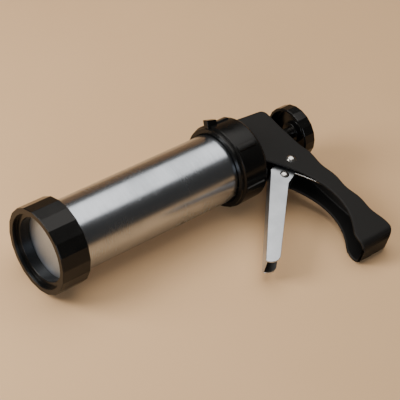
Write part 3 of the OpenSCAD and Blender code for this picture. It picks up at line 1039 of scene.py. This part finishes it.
@dataclass
class Lever:
    """The folded steel lever with its rivet, pawl and return spring."""

    repeater: Repeater
    sweeper: Sweeper
    width: float = 13.0
    sheet: float = 1.2
    pivot: tuple[float, float] = (-201.2, -26.3)
    spring_pin: tuple[float, float] = (-190.0, -33.1)
    coil_r: float = 3.8
    wire_r: float = 0.7
    front_angle: float = -116.7
    back_angle: float = -43.0 - 1440.0
    front_y: float = -4.45
    back_y: float = 1.1
    wall_touch: tuple[float, float] = (-215.728, -58.0)

    def paint_inside_shade(self, blade: bpy.types.Object) -> None:
        """Gives the faces on the inside of the fold the rougher material, whose darker colour is painted shade.

        Args:
            blade: The lever's sheet.
        """
        # The second material is darker: painted shade inside the fold of the lever.
        blade.data.materials.append(WARDROBE.get(INSIDE_PAINTED_SHADE_STEEL))
        back, inside = GUN.transposed(), self.width / 2 - self.sheet
        for face in blade.data.polygons:
            centre, normal = back @ face.center / MM, back @ face.normal
            on_side = abs(normal.y) > 0.9 and centre.y * normal.y < 0
            on_fold = normal.z < -0.3 and normal.x < -0.3
            if abs(centre.y) < inside + 0.05 and (on_side or on_fold):
                face.material_index = 1

    def coil(self, a0: float, a1: float) -> list[Vector]:
        """Lists points along the spring's coil.

        Args:
            a0: Angle at which they start, in degrees.
            a1: Angle at which they end, in degrees.

        Returns:
            The points, in the row frame.
        """
        whole = self.back_angle - self.front_angle
        steps = max(2, int(abs(a1 - a0) / 10))
        made = []
        for i in range(steps + 1):
            angle = a0 + (a1 - a0) * i / steps
            y = self.front_y + (self.back_y - self.front_y) * (angle - self.front_angle) / whole
            t = math.radians(angle)
            made.append(
                lay(self.pivot[0] + self.coil_r * math.cos(t), y, self.pivot[1] + self.coil_r * math.sin(t))
            )
        return made

    def back_leg(self) -> list[Vector]:
        """Lists points along the spring's long leg, which bears on the handle's back wall."""
        t = math.radians(self.back_angle)
        start = Vector((self.pivot[0] + self.coil_r * math.cos(t), self.pivot[1] + self.coil_r * math.sin(t)))
        end = Vector(self.wall_touch)
        knots = [start, start + Vector((-6.6, -7.1)), end + Vector((4.7, 12)), end]
        made = []
        for i in range(1, 29):
            s = i / 28
            p = (
                knots[0] * (1 - s) ** 3
                + knots[1] * 3 * (1 - s) ** 2 * s
                + knots[2] * 3 * (1 - s) * s**2
                + knots[3] * s**3
            )
            made.append(lay(p.x, self.back_y, p.y))
        return made

    def front_leg(self) -> list[Vector]:
        """Lists points along the spring's short leg, which lies under the lever's rivet."""
        t, along = math.radians(self.front_angle), math.radians(self.front_angle + 90)
        x = self.pivot[0] + self.coil_r * math.cos(t)
        z = self.pivot[1] + self.coil_r * math.sin(t)
        return [
            lay(x + d * math.cos(along), self.front_y, z + d * math.sin(along)) for d in (14, 11, 8, 5, 2.5, 1.2)
        ]

    def build(self) -> None:
        """Builds and dresses everything that moves with the lever, and the spring's two parts."""
        blade = bevelled_copy("squeeze_lever", "trigger_lever", 0.22)
        place(blade, "lever", LEVER_STEEL, "lever_steel", "trigger_lever")
        # Painted shade: the inside faces of the fold get the darker material.
        self.paint_inside_shade(blade)
        heads = rivet_heads(
            "lever_rivet_heads", self.repeater, self.spring_pin, self.width / 2, 3.4, 1.5, 1.6
        )
        place(heads, "lever", RIVET_STEEL, "rivet_steel", "spring_rivet")
        split = self.front_angle - 360.0
        fixed = self.sweeper.sweep(
            "return_spring_coil", self.coil(split, self.back_angle) + self.back_leg(), self.wire_r, SPRING_STEEL
        )
        place(fixed, "housing", SPRING_STEEL, "spring_steel", "return_spring")
        moving = self.sweeper.sweep(
            "return_spring_leg", self.front_leg() + self.coil(self.front_angle, split), self.wire_r, SPRING_STEEL
        )
        place(moving, "lever", SPRING_STEEL, "spring_steel")
        sleeve = bevelled_copy("spacer_sleeve", "pivot_sleeve", 0.15)
        place(sleeve, "lever", HARD_STEEL, "pawl_steel", "pivot_sleeve")
        pin = bevelled_copy("pawl_pin", "drive_pawl_pin", 0.15)
        place(pin, "lever", RIVET_STEEL, "rivet_steel", "drive_pawl_pin")
        WARDROBE.dress(frame["nodes"]["drive_pawl_spring"], SPRING_STEEL)
        hook = bevelled_copy("drive_pawl_plate", "drive_pawl", 0.15)
        place(hook, "drive_pawl", HARD_STEEL, "pawl_steel", "drive_pawl")


@dataclass
class Plunger:
    """The piston, its rod and the pull knob."""

    at: Stations
    face_x: float = -11.3
    face_t: float = 1.4
    plate_r: float = 24.2
    knob_r: float = 20.0
    knob_wall: float = 2.0
    knob_floor: float = 2.2
    knob_flats: int = 20
    boss_r: float = 8.0
    spigot_r: float = 3.0
    rod_seat: float = -226.0
    recess_r: float = 6.5
    recess: float = 3.4

    def build_piston(self) -> None:
        """Builds and dresses the piston."""
        plate = lathe("piston_face", [(0.0, self.face_x)] + self.face_profile(), steps=144)
        even_normals(plate, 50.0)
        place(plate, "piston", PLATE_STEEL, "piston_steel", "piston_plate")
        seal = bevelled_copy("seal_ring", "piston_seal", 0.2)
        place(seal, "piston", BLACK_RUBBER, "black_rubber", "piston_seal")
        place(
            bevelled_copy("backing_plate", "piston_back_plate", 0.2),
            "piston", PLATE_STEEL, "piston_steel", "piston_back_plate",
        )
        place(bevelled_copy("hub", "piston_hub", 0.3), "piston", ROD_STEEL, "rod_steel", "piston_hub")
        WARDROBE.dress(frame["nodes"]["swivel_pin"], HARD_STEEL)

    def face_profile(self) -> list[tuple[float, float]]:
        """Lists the piston face's outline outside the axis, with its rolled edge."""
        edge, made = 0.6, []
        for i in range(5):
            t = math.radians(90 * i / 4)
            made.append((self.plate_r - edge + edge * math.sin(t), self.face_x - edge + edge * math.cos(t)))
        return made + [(self.plate_r, self.face_x - self.face_t), (0.0, self.face_x - self.face_t)]

    def build_knob(self) -> None:
        """Builds and dresses the pull knob, its washer and its screw."""
        a = self.at
        inner = self.knob_r - self.knob_wall
        profile = rounded(
            [
                (self.knob_r, a.knob_front, 0.6),
                (self.knob_r, a.knob_back, 0.9),
                (self.recess_r, a.knob_back, 0.4),
                (self.recess_r, a.knob_back + self.recess, 0.1),
                (self.spigot_r, a.knob_back + self.recess, 0.1),
                (self.spigot_r, self.rod_seat, 0.1),
                (self.boss_r, self.rod_seat, 0.4),
                (self.boss_r, a.knob_back + self.knob_floor, 0.5),
                (inner - 0.6, a.knob_back + self.knob_floor, 0.8),
                (inner, a.knob_front, 0.4),
            ],
            4,
        )
        knob = lathe(
            "pull_knob", profile, flats=Flats(self.knob_flats, a.floor_side, 0.4), flat_from=self.knob_r - 1.1
        )
        knob.name = "knob_moulding"
        even_normals(knob)
        place(knob, "rod", GLOSS_BLACK, "gloss_black", "pull_knob")
        washer = bevelled_copy("screw_washer", "knob_washer", 0.1)
        place(washer, "rod", RIVET_STEEL, "rivet_steel", "knob_washer")
        place(bevelled_copy("screw", "knob_screw", 0.12), "rod", RIVET_STEEL, "rivet_steel", "knob_screw")

    def build(self) -> None:
        """Builds and dresses the whole plunger."""
        self.build_piston()
        rod = bevelled_copy("toothed_rod", "plunger_rod", 0.15)
        place(rod, "rod", ROD_STEEL, "rod_steel", "plunger_rod")
        self.build_knob()


# ---------------------------------------------------------------- floor, light and camera


@dataclass
class Studio:
    """The pale floor, the soft lights and the camera."""

    floor_z: float = -0.0307
    reach: float = 3.0

    def floor(self) -> None:
        """Lays the floor and sweeps it up behind the gun."""
        mesh = bmesh.new()
        away = Vector((-0.574, -0.819, 0.0))
        side = Vector((-0.819, 0.574, 0.0))
        outline = [(-2.2, 0.0), (1.1, 0.0)]
        outline += [
            (1.1 + 0.5 * math.sin(math.radians(t)), 0.5 - 0.5 * math.cos(math.radians(t)))
            for t in range(8, 90, 8)
        ]
        outline += [(1.6, 0.75)]
        rows = []
        for s in (-self.reach, self.reach):
            rows.append(
                [mesh.verts.new(away * d + side * s + Vector((0, 0, self.floor_z + h))) for d, h in outline]
            )
        for i in range(len(outline) - 1):
            mesh.faces.new([rows[0][i], rows[0][i + 1], rows[1][i + 1], rows[1][i]])
        for face in mesh.faces:
            face.normal_update()
            if face.normal.z < -0.01:
                face.normal_flip()
        board = new_piece("board", mesh, turn_out=False)
        WARDROBE.dress(board, PALE_BOARD)

    def softbox(self, name: str, at: tuple[float, float, float], aim: tuple[float, float, float],
                size: tuple[float, float], power: float, tint: str) -> None:
        """Hangs a soft light.

        Args:
            name: The light's name.
            at: Where it is, in metres.
            aim: The point that it faces.
            size: Its width and height, in metres.
            power: Its power, in watts.
            tint: Its sRGB colour.
        """
        data = bpy.data.lights.new(name, "AREA")
        data.shape = "RECTANGLE"
        data.size, data.size_y = size
        data.energy = power
        data.color = linear(tint)[:3]
        lamp = bpy.data.objects.new(name, data)
        lamp.location = at
        lamp.rotation_euler = (Vector(aim) - Vector(at)).to_track_quat("-Z", "Y").to_euler()
        bpy.context.scene.collection.objects.link(lamp)

    def world(self) -> None:
        """Fills the room with dim light."""
        room = bpy.data.worlds.new("room")
        room.use_nodes = True
        back = room.node_tree.nodes["Background"]
        back.inputs["Color"].default_value = linear("#d8d2ca")
        back.inputs["Strength"].default_value = 0.09
        bpy.context.scene.world = room

    def camera(self) -> None:
        """Sets the camera above the mouth, to the gun's left."""
        data = bpy.data.cameras.new("camera")
        data.lens, data.sensor_width = 128.098, 36.0
        data.clip_start = 0.05
        eye = bpy.data.objects.new("camera", data)
        eye.location = (0.39538, 0.56443, 0.62843)
        eye.rotation_euler = (0.87129, -0.07657, 2.4448)
        bpy.context.scene.collection.objects.link(eye)
        bpy.context.scene.camera = eye

    def build(self) -> None:
        """Builds the whole studio."""
        self.floor()
        self.world()
        self.softbox("overhead", (-0.36, -0.19, 0.87), (-0.36, -0.19, 0.0), (1.04, 1.14), 9.8, "#fffaf4")
        self.softbox("window", (0.44, -0.26, 0.42), (0.08, -0.04, 0.0), (0.36, 0.36), 5.6, "#fffaf4")
        self.softbox("fill", (0.66, 0.8, 0.34), (-0.1, 0.0, 0.0), (0.7, 0.4), 6.0, "#eef4ff")
        self.camera()


def main() -> None:
    """Builds every sub-assembly, then the studio."""
    logging.basicConfig(level=logging.INFO, format="%(name)s: %(message)s")
    at = Stations()
    repeater, sweeper = Repeater(), Sweeper()
    for assembly in (
        ScrewRing(at),
        Barrel(at, sweeper),
        RearCollar(at, repeater),
        Housing(at, repeater),
        Lever(repeater, sweeper),
        Plunger(at),
        Studio(),
    ):
        LOG.info("building %s", type(assembly).__name__)
        assembly.build()


if __name__ == "__main__":
    main()
